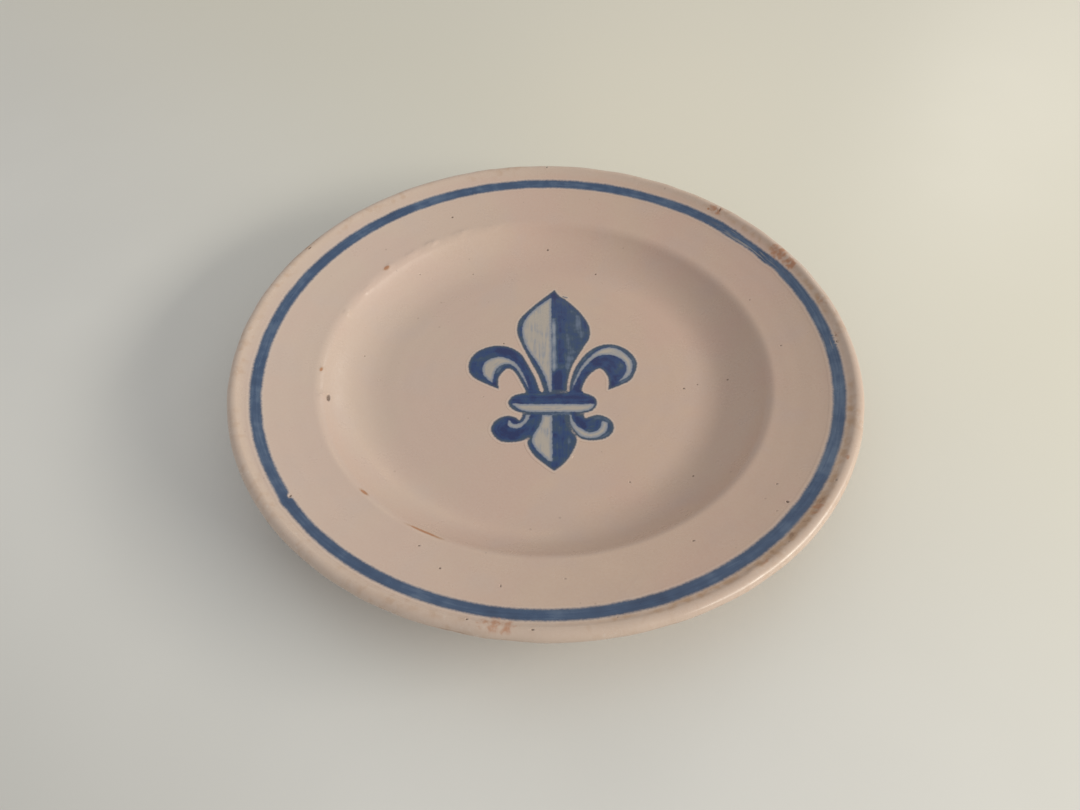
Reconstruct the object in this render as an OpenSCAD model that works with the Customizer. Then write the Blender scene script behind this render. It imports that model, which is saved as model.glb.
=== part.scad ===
// Tin-glazed earthenware plate with a hand-painted rim line and lily motif.
// +Z up, origin on the plate's axis at the face of the foot ring, millimetres.
// Travel along the section runs from the centre of the face out over the lip
// and back underneath, so the clay is always on the right-hand side.

/* [Plate] */
// Outside diameter over the lip
plate_d = 250; // [230:1:280]
// Height of the glazed floor of the well above the table
floor_z = 10; // [9:0.5:12]
// Height of the shoulder where the well turns into the rim
shoulder_z = 21.9; // [20:0.1:24]
// Radius of the flat floor of the well
floor_r = 67; // [64:1:70]
// Radius of the shoulder where the well turns into the rim
shoulder_r = 94; // [93:1:96]
// Slope of the wall just below the shoulder, degrees
wall_slope = 47; // [44:1:52]
// Upward slope of the rim at the shoulder, degrees
rim_slope = 12; // [8:0.5:14]
// How much the rim curls up towards the lip, per mm
rim_curl = 0.003; // [0.001:0.0005:0.004]
// Radius of the rounded lip's section
lip_r = 2.6; // [2.2:0.1:2.8]

/* [Foot ring] */
// Mean radius of the foot ring
foot_r = 70; // [62:1:71]
// Width of the foot's bare standing face
foot_w = 5.4; // [4:0.2:7]
// Height of the underside above the table
foot_h = 4.6; // [4:0.2:5]
// Height of bare clay left at the bottom of the foot
bare_h = 1.2; // [1:0.1:2]

/* [Glaze and colour] */
// Thickness of the white tin glaze
glaze_t = 0.4; // [0.3:0.05:0.6]
// Thickness of a layer of painted colour
paint_t = 0.15; // [0.1:0.05:0.2]
// Inner radius of the blue line painted round the rim
line_r = 113.1; // [100:0.1:114]
// Width of the blue line
line_w = 4.7; // [3:0.1:5]
// Size of the lily motif, 1 being 72 mm wide and 104 mm tall
motif_scale = 1; // [0.7:0.05:1.1]
// Sideways offset of the motif from the plate's axis
motif_x = 3.5; // [-6:0.5:6]
// Offset of the motif away from the front
motif_y = 4; // [-6:0.5:6]

/* [Hidden] */
$fn = 180;

clay_colour = [0.66, 0.42, 0.29];
glaze_colour = [0.80, 0.71, 0.63];
line_colour = [0.27, 0.36, 0.53];
shade_colour = [0.17, 0.22, 0.43];
wash_colour = [0.64, 0.64, 0.63];

lip_sink = 2.3;          // how far the middle of the lip's round lies below the rim's line
lip_start = 124;         // where the rim runs on to the lip's round, degrees
lip_end = -70;           // where the lip's round runs on to the back, degrees
lip_c = [plate_d / 2 - lip_r, rim_z(plate_d / 2 - lip_r) - lip_sink];
lip_reach = 6.8;         // from the outside in to where the rim runs on to the lip
rise_reach = 1.2;        // handle length of the short rise from the rim to the lip
floor_reach = 12.5;       // handle length of the wall's hollow curve, along the floor
wall_reach = 5.5;        // handle length of the same curve, along the top of the wall
wall_drop = [4.2, 2.3];  // how far in from the shoulder, and below it, the wall's curve ends
round_reach = [1.6, 1.8]; // handle lengths of the shoulder's round, at the wall and at the rim
back_out = 2;            // how far the back's shoulder lies outside the face's
back_drop = 5.9;         // from the shoulder straight down to the back of the rim
back_slope = 16;         // slope of the back where the rim meets the wall, degrees
lip_slope = 20;          // slope of the back where it leaves the lip, degrees
under_reach = [9, 8];    // handle lengths under the rim, at the lip and at the shoulder
back_reach = 6.5;        // handle length of the back below its shoulder
back_turn = 4.5;         // how far in from the shoulder the back begins to level out
back_level = 14;         // how far in from the shoulder the back is level
foot_lean = 1.6;         // how far each side of the foot leans out at its top
foot_round = 1;          // reach of the small hollow where the foot meets the back
foot_bend = 0.6;         // share of the foot's lean and height left at its steepest
glaze_edge = 0.4;        // how far the glaze's lower edge stands outside the foot's face
bevel_h = 0.5;           // small bevels along both edges of the foot's face
divide = -0.35;          // x of the line between a petal's light and dark half
half_reach = 60;         // reach of each half, beyond the whole motif
bar_lap = 0.1;           // how far the other areas reach under the edge of the tie bar

// ---- curves ---------------------------------------------------------------

function bez(a, b, c, d, n) =
    [for (i = [0:n]) let (t = i / n, u = 1 - t)
        u * u * u * a + 3 * u * u * t * b + 3 * u * t * t * c + t * t * t * d];

function arc(c, r, a0, a1, n) =
    [for (i = [0:n]) c + r * [cos(a0 + (a1 - a0) * i / n), sin(a0 + (a1 - a0) * i / n)]];

function slice(p, first, last) = [for (i = [first:last]) p[i]];
function reversed(p) = [for (i = [len(p) - 1:-1:0]) p[i]];
function tail_of(p) = slice(p, 1, len(p) - 1);
function unit(v) = v / norm(v);

// A line moved g to the right of its direction of travel
function inset(p, g) =
    [for (i = [0:len(p) - 1])
        let (t = unit(p[min(i + 1, len(p) - 1)] - p[max(i - 1, 0)]))
        p[i] + g * [t.y, -t.x]];

// A smooth line through a few points, corners only at its two ends
function through(p, n = 6) = concat(
    [for (i = [0:len(p) - 2])
        let (a = p[max(i - 1, 0)], b = p[i], c = p[i + 1], d = p[min(i + 2, len(p) - 1)])
        for (k = [0:n - 1])
            let (t = k / n)
            0.5 * (2 * b + (c - a) * t + (2 * a - 5 * b + 4 * c - d) * t * t
                   + (3 * b - a - 3 * c + d) * t * t * t)],
    [p[len(p) - 1]]);

// ---- section of the plate -------------------------------------------------

// Height of the glazed rim between the shoulder and the lip
function rim_z(r) = shoulder_z + (r - shoulder_r) * tan(rim_slope)
    + rim_curl * (r - shoulder_r) * (r - shoulder_r);
function rim_run(r0, r1, n) = [for (i = [0:n]) let (r = r0 + (r1 - r0) * i / n) [r, rim_z(r)]];

wall_top = [shoulder_r, shoulder_z] - wall_drop;
up_wall = [cos(wall_slope), sin(wall_slope)];
wall = bez([floor_r, floor_z], [floor_r + floor_reach, floor_z],
           wall_top - wall_reach * up_wall, wall_top, 12);
shoulder = bez(wall_top, wall_top + round_reach[0] * up_wall,
               [shoulder_r, shoulder_z] - round_reach[1] * [cos(rim_slope), sin(rim_slope)],
               [shoulder_r, shoulder_z], 6);
rim_in = rim_run(shoulder_r, line_r, 8);
rim_line_run = rim_run(line_r, line_r + line_w, 3);
lip_top = lip_c + lip_r * [cos(lip_start), sin(lip_start)];
rim_end_r = plate_d / 2 - lip_reach;
rim_end = [rim_end_r, rim_z(rim_end_r)];
lip_rise = bez(rim_end, rim_end + rise_reach * [cos(lip_slope), sin(lip_slope)],
               lip_top - rise_reach * [sin(lip_start), -cos(lip_start)], lip_top, 4);
lip_out = arc(lip_c, lip_r, lip_start, 0, 8);
face_line = concat([[0, floor_z]], wall, tail_of(shoulder), tail_of(rim_in),
                   tail_of(rim_line_run), lip_rise, tail_of(lip_out));

foot_out = foot_r + foot_w / 2;
foot_in = foot_r - foot_w / 2;
lip_under = arc(lip_c, lip_r, 0, lip_end, 6);
lip_last = lip_under[len(lip_under) - 1];
back_shoulder = [shoulder_r + back_out, shoulder_z - back_drop];
under_rim = bez(lip_last, lip_last - under_reach[0] * [cos(lip_slope), sin(lip_slope)],
                back_shoulder + under_reach[1] * [cos(back_slope), sin(back_slope)],
                back_shoulder, 8);
back_wall = bez(back_shoulder, back_shoulder - back_reach * [cos(back_slope), sin(back_slope)],
                [shoulder_r - back_turn, foot_h], [shoulder_r - back_level, foot_h], 12);
foot_side = bez([foot_out + foot_lean + foot_round, foot_h], [foot_out + foot_lean, foot_h],
                [foot_out + foot_lean * foot_bend, foot_h * foot_bend],
                [foot_out + glaze_edge, bare_h], 5);
back_line = concat(lip_under, tail_of(under_rim), tail_of(back_wall), foot_side);

// Bottom of the plate inside the foot ring, from the foot to the centre
base_line = concat(
    bez([foot_in - glaze_edge, bare_h],
        [foot_in - foot_lean * foot_bend, foot_h * foot_bend],
        [foot_in - foot_lean, foot_h], [foot_in - foot_lean - foot_round, foot_h], 5),
    [[0, foot_h]]);

skin = concat(face_line, tail_of(back_line));
clay_skin = inset(skin, glaze_t);
face_n = len(face_line);
base_clay = inset(base_line, glaze_t);

// A glaze coat is the band between the glazed surface and the clay under it
module coat(outer, inner) {
    rotate_extrude() polygon(concat(outer, reversed(inner)));
}

module clay_body() {
    color(clay_colour) rotate_extrude() polygon(concat(
        clay_skin,
        [[foot_out, bevel_h], [foot_out - bevel_h, 0]],
        [[foot_in + bevel_h, 0], [foot_in, bevel_h]],
        base_clay));
}

module glaze_face() {
    color(glaze_colour) coat(face_line, slice(clay_skin, 0, face_n - 1));
}

module glaze_back() {
    color(glaze_colour) coat(slice(skin, face_n - 1, len(skin) - 1),
                             slice(clay_skin, face_n - 1, len(skin) - 1));
}

module glaze_base() {
    color(glaze_colour) coat(base_line, base_clay);
}

// ---- painted colour -------------------------------------------------------

module rim_line() {
    color(line_colour) rotate_extrude() polygon(concat(
        rim_line_run,
        reversed([for (p = rim_line_run) p + [0, paint_t]])));
}

// One brushed area, lying on the floor of the well
module brushed(colour) {
    color(colour) translate([motif_x, motif_y, floor_z])
        linear_extrude(paint_t) scale([motif_scale, motif_scale]) children();
}

// Everything left or right of the line that divides a petal in two
module light_half() {
    translate([divide - half_reach, -half_reach]) square([half_reach, 2 * half_reach]);
}
module dark_half() {
    translate([divide, -half_reach]) square([half_reach, 2 * half_reach]);
}

// Outlines in the motif's own frame: x across, y away from the front
bar_top = -11.6;
bar_bottom = -23.3;

petal_left = [[1.2, 52], [-1.9, 48.5], [-8.5, 41], [-14.2, 33], [-15.7, 27], [-14.8, 20],
              [-9.8, 6.6], [-6.2, -2], [-3.6, bar_top + bar_lap]];
petal_right = [[6.1, bar_top + bar_lap], [6.4, -6], [8.4, 2.9], [13.5, 14], [16.5, 20.5],
               [16.4, 28.5], [12.6, 37], [6.6, 45], [3.7, 47.6], [1.2, 52]];
petal_wash_left = [[divide, 46.5], [-6.5, 40.5], [-11.6, 33], [-13.4, 25.5], [-11.6, 15.5],
                   [-6, 4], [-3.1, -3.5], [-1.4, bar_top + bar_lap]];

left_outer = [[-5.2, bar_top + bar_lap], [-7, -4.5], [-10.4, 4], [-14, 11], [-20, 15], [-27, 15],
              [-33.5, 11], [-36.1, 4], [-33.6, -3.4], [-22.5, -10.1]];
left_inner = [[-22.5, -10.1], [-22.7, -3.5], [-19.4, 1.5], [-16.3, -0.2], [-13.4, -6],
              [-11.1, bar_top + bar_lap]];
left_wash_outer = [[-25.4, -6.5], [-29.4, -1.5], [-29.2, 5], [-23.5, 8.6], [-16.6, 5.7],
                   [-12.2, -2.2], [-10.1, -9.5]];
left_wash_inner = [[-10.1, -9.5], [-12.9, -3.2], [-16.2, 2.7], [-20, 4.5], [-24, 1.4],
                   [-25.4, -6.5]];

right_outer = [[6.9, bar_top + bar_lap], [7.4, -6], [9.9, 2.9], [15.9, 12.2], [24, 16.4],
               [32, 13.5], [36.3, 5.5], [33.5, -4], [28.4, -7.8], [23.2, -10.3]];
right_inner = [[23.2, -10.3], [23.4, -3.4], [20.3, 1.7], [15.6, -2], [12.6, -8.5],
               [12.3, bar_top + bar_lap]];
right_wash_outer = [[8.2, -10], [9.6, -4], [14, 5.6], [20.9, 13.1], [28, 13.7],
                    [34, 6.6], [32.9, -1.5], [27.4, -6.2]];
right_wash_inner = [[27.4, -6.2], [31.4, 0], [30.8, 6], [26, 9.6], [19.4, 9],
                    [13.1, 1.6], [9.3, -7], [8.2, -10]];

bar_left = [[-8, bar_bottom], [-14.2, -22.4], [-17.6, -19.8], [-18.3, -16.6],
            [-15.9, -13.3], [-10, bar_top]];
bar_right = [[12.5, bar_top], [17, -13.9], [18.3, -17.4], [16.7, -21],
             [13.4, -22.7], [8, bar_bottom]];
bar_wash_left = [[-9, -22.3], [-13.2, -21.2], [-16.6, -17.9], [-13, -18.2]];
bar_wash_right = [[13, -18], [16.9, -18], [15.2, -21], [11, -22.2]];

left_curl_outer = [[-5, bar_bottom - bar_lap], [-6, -28], [-9.8, -35.6], [-15, -37.9],
                   [-21, -37.4], [-24.8, -32.5], [-23.8, -27.5], [-19.5, -24.5],
                   [-15.6, -25], [-13.6, -26.6]];
left_curl_notch = [[-13.6, -26.6], [-12.7, -25], [-12.5, bar_bottom - bar_lap]];
left_curl_wash_outer = [[-9.3, -23.9], [-10.4, -27.2], [-14, -30.9], [-18, -29.6],
                        [-17.9, -26.6]];
left_curl_wash_inner = [[-17.9, -26.6], [-15.8, -28.6], [-13, -28.1], [-11.4, -25.6],
                        [-10.9, -23.9]];

right_curl_outer = [[12.6, bar_bottom - bar_lap], [13.2, -25.4], [15.2, -24.6], [19, -23.8],
                    [23.4, -26.4], [24.4, -31.5], [21.2, -35.7], [15.5, -37],
                    [10.8, -35.9], [8, -31.8], [6.1, -27], [5.8, bar_bottom - bar_lap]];
right_curl_wash_outer = [[6.8, -23.9], [7.6, -29.5], [11, -34.6], [16, -35.7], [20.6, -33.2],
                         [22.1, -28.6], [19.9, -27]];
right_curl_wash_inner = [[19.9, -27], [18.6, -31], [14.6, -32.8], [10.2, -30],
                         [8, -26.4], [7.6, -23.9]];

tail_left = [[-4.8, bar_bottom - bar_lap], [-5.8, -28], [-9.3, -35.6], [-10.2, -39], [-7.6, -44.4],
             [-2.5, -49.6], [0.3, -51.8]];
tail_right = [[0.3, -51.8], [3.5, -49.2], [7, -44], [9.5, -37], [7.4, -31.8], [5.8, -27],
              [5.5, bar_bottom - bar_lap]];
tail_wash_left = [[-4.2, -24], [-5.2, -28.6], [-8.2, -35.8], [-7.2, -40.6], [-2.4, -46.4],
                  [divide, -47.4]];

module petal_area() polygon(concat(through(petal_left), through(petal_right)));
module petal_wash_area() polygon(concat(through(petal_wash_left), [[divide, bar_top + bar_lap]]));
module left_area() polygon(concat(through(left_outer), through(left_inner)));
module left_wash_area() polygon(concat(through(left_wash_outer), through(left_wash_inner)));
module right_area() polygon(concat(through(right_outer), through(right_inner)));
module right_wash_area() polygon(concat(through(right_wash_outer), through(right_wash_inner)));
module bar_area() polygon(concat(through(bar_left), through(bar_right)));
module bar_wash_area() polygon(concat(through(bar_wash_left), through(bar_wash_right)));
module left_curl_area() polygon(concat(through(left_curl_outer), through(left_curl_notch)));
module left_curl_wash_area()
    polygon(concat(through(left_curl_wash_outer), through(left_curl_wash_inner)));
module right_curl_area() polygon(through(right_curl_outer));
module right_curl_wash_area()
    polygon(concat(through(right_curl_wash_outer), through(right_curl_wash_inner)));
module tail_area() polygon(concat(through(tail_left), through(tail_right)));
module tail_wash_area() polygon(concat(through(tail_wash_left), [[divide, -24]]));

module centre_petal_shade() {
    brushed(shade_colour) intersection() { petal_area(); dark_half(); }
}
module centre_petal_wash() { brushed(wash_colour) petal_wash_area(); }
module centre_petal_line() {
    brushed(line_colour) difference() {
        intersection() { petal_area(); light_half(); }
        petal_wash_area();
    }
}
module left_petal_shade() {
    brushed(shade_colour) difference() { left_area(); left_wash_area(); }
}
module left_petal_wash() { brushed(wash_colour) left_wash_area(); }
module right_petal_shade() {
    brushed(shade_colour) difference() { right_area(); right_wash_area(); }
}
module right_petal_wash() { brushed(wash_colour) right_wash_area(); }
module tie_bar_shade() {
    brushed(shade_colour) difference() { bar_area(); bar_wash_area(); }
}
module tie_bar_wash() { brushed(wash_colour) bar_wash_area(); }
module left_curl_shade() {
    brushed(shade_colour) difference() { left_curl_area(); left_curl_wash_area(); }
}
module left_curl_wash() { brushed(wash_colour) left_curl_wash_area(); }
module right_curl_shade() {
    brushed(shade_colour) difference() { right_curl_area(); right_curl_wash_area(); }
}
module right_curl_wash() { brushed(wash_colour) right_curl_wash_area(); }
module tail_shade() {
    brushed(shade_colour) intersection() { tail_area(); dark_half(); }
}
module tail_wash() { brushed(wash_colour) tail_wash_area(); }
module tail_line() {
    brushed(line_colour) difference() {
        intersection() { tail_area(); light_half(); }
        tail_wash_area();
    }
}

clay_body();
glaze_face();
glaze_back();
glaze_base();
rim_line();
centre_petal_shade();
centre_petal_wash();
centre_petal_line();
left_petal_shade();
left_petal_wash();
right_petal_shade();
right_petal_wash();
tie_bar_shade();
tie_bar_wash();
left_curl_shade();
left_curl_wash();
right_curl_shade();
right_curl_wash();
tail_shade();
tail_wash();
tail_line();
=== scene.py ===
# Looks, light and camera for a hand-painted tin-glazed plate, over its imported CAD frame.
import math

import bmesh
import bpy
import numpy as np
from mathutils import Matrix, Vector


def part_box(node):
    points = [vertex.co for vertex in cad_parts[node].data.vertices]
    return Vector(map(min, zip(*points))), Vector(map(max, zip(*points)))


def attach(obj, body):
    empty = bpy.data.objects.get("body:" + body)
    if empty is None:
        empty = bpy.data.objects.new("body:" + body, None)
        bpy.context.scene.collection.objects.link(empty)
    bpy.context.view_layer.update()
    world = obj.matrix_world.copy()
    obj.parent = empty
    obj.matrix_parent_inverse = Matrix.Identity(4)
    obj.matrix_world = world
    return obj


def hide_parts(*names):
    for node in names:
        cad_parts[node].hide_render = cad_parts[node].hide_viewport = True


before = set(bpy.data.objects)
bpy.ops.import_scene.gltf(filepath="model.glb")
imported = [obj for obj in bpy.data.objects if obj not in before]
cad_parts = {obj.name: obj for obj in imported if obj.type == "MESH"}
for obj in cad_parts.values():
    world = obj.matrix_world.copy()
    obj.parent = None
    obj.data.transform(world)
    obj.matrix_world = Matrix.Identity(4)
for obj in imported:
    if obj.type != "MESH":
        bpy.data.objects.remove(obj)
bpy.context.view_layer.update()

# ---- sizes, in millimetres; the frame itself is in metres -----------------------------

MM = 0.001
GLAZE = 0.4                  # thickness of the glaze
GLAZE_EDGE = 0.4             # how far the glaze's lower edge stands off the foot's face
PAINT = 0.03                 # how far the colours stand proud of the glaze
PAINT_SUNK = 0.04            # how far their undersides lie in it

FLOOR_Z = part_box("centre_petal_wash")[0].z / MM
LIP_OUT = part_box("glaze_face")[1].x / MM
FOOT_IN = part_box("glaze_base")[1].x / MM + GLAZE_EDGE
BACK_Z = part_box("glaze_base")[1].z / MM - GLAZE
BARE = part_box("glaze_base")[0].z / MM
FOOT_W = 5.4
FOOT_OUT = FOOT_IN + FOOT_W
FLOOR_R = 67.0
SHOULDER_R = 94.0
SHOULDER_Z = 21.9
LIP_R = 2.6

# Slopes along the section, in degrees
WALL_SLOPE = 47              # just below the shoulder
RIM_SLOPE = 12               # just outside the shoulder
RIM_CURL = 0.003             # how much the rim curls up towards the lip, per mm
RISE_SLOPE = 20              # where the rim begins its short rise to the lip
LIP_START = 124              # the lip's round begins here and ends underneath
LIP_END = -70
LIP_SLOPE = 20               # where the back leaves the lip
BACK_SLOPE = 16              # where the back turns from the rim to the wall

# Handle lengths and offsets of the section's curves
FLOOR_REACH = 12.5
WALL_REACH = 5.5
WALL_DROP = (4.2, 2.3)       # in from the shoulder, and below it, to the wall's top
ROUND_REACH = (1.6, 1.8)
RISE_REACH = 1.2
LIP_REACH = 6.8              # from the outside in to the end of the rim
LIP_SINK = 2.3               # how far the lip's middle lies below the rim's line
BACK_OUT = 2                 # from the face's shoulder to the back's
BACK_DROP = 5.9
UNDER_REACH = (9, 8)
BACK_REACH = 6.5
BACK_TURN = 4.5              # in from the shoulder, where the back begins to level out
BACK_LEVEL = 14              # in from the shoulder, where it is level
FOOT_LEAN = 1.6              # how far each side of the foot leans out at its top
FOOT_ROUND = 1
FOOT_BEND = 0.6              # share of the lean and height left at its steepest
BEVEL = 0.5                  # at both edges of the foot's face
FOOT_INNER = 1.6             # from those edges in to the face's next ring of vertices
CLAY_GAP = 0.03              # keeps the clay apart from the hidden side of its glaze

BAR_BOTTOM = -23.3           # the tie bar's lower edge, in the motif's own frame
BAR_TOP = -11.6
DIVIDE = -0.35               # line between a petal's light and dark half
MOTIF = Vector((
    (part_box("tie_bar_shade")[0].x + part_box("tie_bar_shade")[1].x) / 2 / MM,
    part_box("tie_bar_shade")[0].y / MM - BAR_BOTTOM))


# ---- curves ---------------------------------------------------------------------------

def bezier(a, b, c, d, steps):
    t = np.linspace(0, 1, steps + 1)[:, None]
    u = 1 - t
    a, b, c, d = (np.array(p, float) for p in (a, b, c, d))
    return u**3 * a + 3 * u * u * t * b + 3 * u * t * t * c + t**3 * d


def arc(centre, radius, start, end, steps):
    turn = np.radians(np.linspace(start, end, steps + 1))
    return np.array(centre) + radius * np.stack([np.cos(turn), np.sin(turn)], 1)


def heading(degrees):
    return np.array([math.cos(math.radians(degrees)), math.sin(math.radians(degrees))])


def joined(*runs):
    """One line from several, each but the first without its first point."""
    return np.vstack([runs[0]] + [run[1:] for run in runs[1:]])


def through(points, steps=8):
    """A smooth line through a few points, with corners only at its two ends."""
    p = np.array([points[0], *points, points[-1]], float)
    a, b, c, d = (p[i:len(p) - 3 + i, None] for i in range(4))
    t = (np.arange(steps) / steps)[None, :, None]
    curve = 0.5 * (2 * b + (c - a) * t + (2 * a - 5 * b + 4 * c - d) * t * t
                   + (3 * b - a - 3 * c + d) * t**3)
    return np.vstack([curve.reshape(-1, 2), p[-1]])


def smooth(value, low, high):
    """0 below low, 1 above high, and a soft step between them."""
    t = np.clip((value - low) / (high - low), 0, 1)
    return t * t * (3 - 2 * t)


def waves(x, y, length, seed, count=14):
    """Irregular gentle ripples of about the given wavelength, mostly between -1 and 1."""
    rng = np.random.default_rng(seed)
    total = np.zeros_like(x)
    for turn, shift, stretch in rng.uniform((0, 0, 0.7), (math.tau, math.tau, 1.6), (count, 3)):
        k = math.tau / (length * stretch)
        total += np.sin(k * (x * math.cos(turn) + y * math.sin(turn)) + shift)
    return total / math.sqrt(count)


# ---- section of the plate -------------------------------------------------------------

def rim_z(r):
    """Height of the glazed rim between the shoulder and the lip."""
    beyond = r - SHOULDER_R
    return SHOULDER_Z + beyond * math.tan(math.radians(RIM_SLOPE)) + RIM_CURL * beyond**2


LIP_C = np.array([LIP_OUT - LIP_R, rim_z(LIP_OUT - LIP_R) - LIP_SINK])


def face_line():
    """The glazed face from the plate's centre to the lip's outermost point."""
    floor = np.stack([np.linspace(0, FLOOR_R, 50), np.full(50, FLOOR_Z)], 1)
    shoulder_end = np.array([SHOULDER_R, SHOULDER_Z])
    wall_top = shoulder_end - WALL_DROP
    wall = bezier((FLOOR_R, FLOOR_Z), (FLOOR_R + FLOOR_REACH, FLOOR_Z),
                  wall_top - WALL_REACH * heading(WALL_SLOPE), wall_top, 32)
    shoulder = bezier(wall_top, wall_top + ROUND_REACH[0] * heading(WALL_SLOPE),
                      shoulder_end - ROUND_REACH[1] * heading(RIM_SLOPE), shoulder_end, 12)
    rim_r = np.linspace(SHOULDER_R, LIP_OUT - LIP_REACH, 28)
    rim = np.stack([rim_r, rim_z(rim_r)], 1)
    lip_top = LIP_C + LIP_R * heading(LIP_START)
    rise = bezier(rim[-1], rim[-1] + RISE_REACH * heading(RISE_SLOPE),
                  lip_top - RISE_REACH * heading(LIP_START - 90), lip_top, 6)
    return joined(floor, wall, shoulder, rim, rise, arc(LIP_C, LIP_R, LIP_START, 1, 20),
                  arc(LIP_C, LIP_R, 1, 0, 2))


def foot_side(edge, way):
    """The glazed side of the foot, from the level back down to the bare clay."""
    top = edge + way * FOOT_LEAN
    steepest = (edge + way * FOOT_LEAN * FOOT_BEND, BACK_Z * FOOT_BEND)
    return bezier((top + way * FOOT_ROUND, BACK_Z), (top, BACK_Z), steepest,
                  (edge + way * GLAZE_EDGE, BARE), 8)


def back_line():
    """The glazed back from the lip's outermost point to the outside of the foot."""
    lip_under = arc(LIP_C, LIP_R, -1, LIP_END, 12)
    shoulder = np.array([SHOULDER_R + BACK_OUT, SHOULDER_Z - BACK_DROP])
    under_rim = bezier(lip_under[-1], lip_under[-1] - UNDER_REACH[0] * heading(LIP_SLOPE),
                       shoulder + UNDER_REACH[1] * heading(BACK_SLOPE), shoulder, 18)
    wall = bezier(shoulder, shoulder - BACK_REACH * heading(BACK_SLOPE),
                  (SHOULDER_R - BACK_TURN, BACK_Z), (SHOULDER_R - BACK_LEVEL, BACK_Z), 18)
    return np.vstack([arc(LIP_C, LIP_R, 0, -1, 2)[:2], lip_under, under_rim[1:], wall[1:],
                      foot_side(FOOT_OUT, 1)])


def base_line():
    """The glazed bottom from the inside of the foot to the centre."""
    foot = foot_side(FOOT_IN, -1)[::-1]
    flat = np.stack([np.linspace(foot[-1][0], 0, 32), np.full(32, BACK_Z)], 1)
    return joined(foot, flat)


def foot_face():
    """The bare face the plate stands on, from its outer edge to its inner one."""
    half = np.array([(0, BEVEL), (0.3 * BEVEL, 0.3 * BEVEL), (BEVEL, 0), (FOOT_INNER, 0),
                     (FOOT_W / 2, 0)])
    return joined((FOOT_OUT, 0) + half * (-1, 1), ((FOOT_IN, 0) + half)[::-1])


def inset(line, depth):
    """A line moved to the right of its direction of travel, but never past the axis."""
    run = np.gradient(line, axis=0)
    run /= np.linalg.norm(run, axis=1)[:, None]
    moved = line + depth * np.stack([run[:, 1], -run[:, 0]], 1)
    return np.maximum(moved, (0, -np.inf))


FACE = face_line()


def on_face(r):
    """Height of the glazed face at a radius, and how far it leans outwards there."""
    z = np.interp(r, FACE[:, 0], FACE[:, 1])
    rise = (np.interp(r + 0.05, FACE[:, 0], FACE[:, 1])
            - np.interp(r - 0.05, FACE[:, 0], FACE[:, 1])) / 0.1
    return z, rise


# ---- marks on the face ----------------------------------------------------------------
# Each mark: place (x, y), half length, half width, direction in degrees, depth.

def on_rim(angle, r):
    """Place at an angle round the plate, in degrees, and a radius."""
    return r * np.cos(np.radians(angle)), r * np.sin(np.radians(angle))


PITS = [
    ((-86.7, -17.7), 2.4, 0.75, 96, 0.34),
    ((58.3, -5.5), 0.6, 0.55, 0, 0.25), ((64.2, -3.3), 0.45, 0.4, 0, 0.2),
    ((76.8, -1.7), 0.6, 0.5, 30, 0.22), ((98, 7), 0.6, 0.5, 0, 0.16),
    ((89.8, 35.3), 0.6, 0.4, 20, 0.16), ((24.2, 66.7), 0.6, 0.6, 0, 0.2),
    ((-34, 66.2), 0.5, 0.5, 0, 0.16), ((1.5, 81.3), 0.7, 0.6, 0, 0.25),
    ((-44.7, 92.7), 0.7, 0.6, 40, 0.28), ((-18, 20.8), 0.6, 0.45, 60, 0.2),
    ((-77.5, 11.5), 0.4, 0.4, 0, 0.2), ((-69.7, -0.8), 0.4, 0.4, 0, 0.12),
    ((-25.5, -10), 0.5, 0.4, 90, 0.14), ((32.5, -53), 0.5, 0.45, 0, 0.2),
    ((56.7, -51), 0.55, 0.45, 0, 0.2), ((-34.7, -97.8), 0.5, 0.5, 0, 0.2),
    ((-14.3, -104.7), 0.8, 0.35, 90, 0.18), ((-42.7, -88.3), 0.7, 0.4, 20, 0.18),
    ((83.3, -63.7), 0.5, 0.4, 0, 0.18), ((85, -72.7), 0.6, 0.5, 0, 0.24),
    ((51, -86.7), 0.7, 0.4, 20, 0.18), ((-58.3, 61.2), 0.5, 0.4, 0, 0.14),
    ((6.8, -101.5), 0.6, 0.4, 0, 0.14), ((78, -70), 0.4, 0.35, 0, 0.12),
    ((1, 123.2), 1.7, 0.6, 92, 0.35), (on_rim(46.8, 121.4), 1.2, 0.4, 70, 0.25),
    (on_rim(327.5, 121), 0.7, 0.5, 50, 0.15), (on_rim(320, 120.8), 0.5, 0.4, 0, 0.13),
    (on_rim(312, 120.8), 0.5, 0.35, 30, 0.12), (on_rim(258.5, 121), 0.5, 0.5, 0, 0.25),
    (on_rim(268.3, 122.2), 0.6, 0.4, 0, 0.2), (on_rim(319.5, 111.5), 0.5, 0.45, 0, 0.22),
    (on_rim(316.6, 111), 0.4, 0.3, 0, 0.15), (on_rim(1.5, 118.9), 1.0, 0.5, 100, 0.3),
    (on_rim(3.2, 119.3), 0.5, 0.4, 0, 0.2), (on_rim(218.6, 113.9), 0.8, 0.55, 60, 0.32),
    (on_rim(150.3, 122), 1.3, 0.4, 60, 0.2), (on_rim(281, 119.4), 0.5, 0.4, 0, 0.15),
]

# Thin scratches and rubbed places where red clay shows through
SCRAPES = [
    ((-41.7, -81.7), 6.6, 0.55, -25, 0.10), ((-65, -65.2), 2.0, 0.6, -40, 0.10),
    ((-91.3, -4.7), 1.1, 0.5, 80, 0.08), ((-72.5, 58), 1.6, 0.9, 50, 0.05),
    (on_rim(31.2, 119.9), 0.5, 1.5, 120, 0.18), (on_rim(49.3, 119.6), 0.6, 0.5, 139, 0.12),
]

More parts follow.
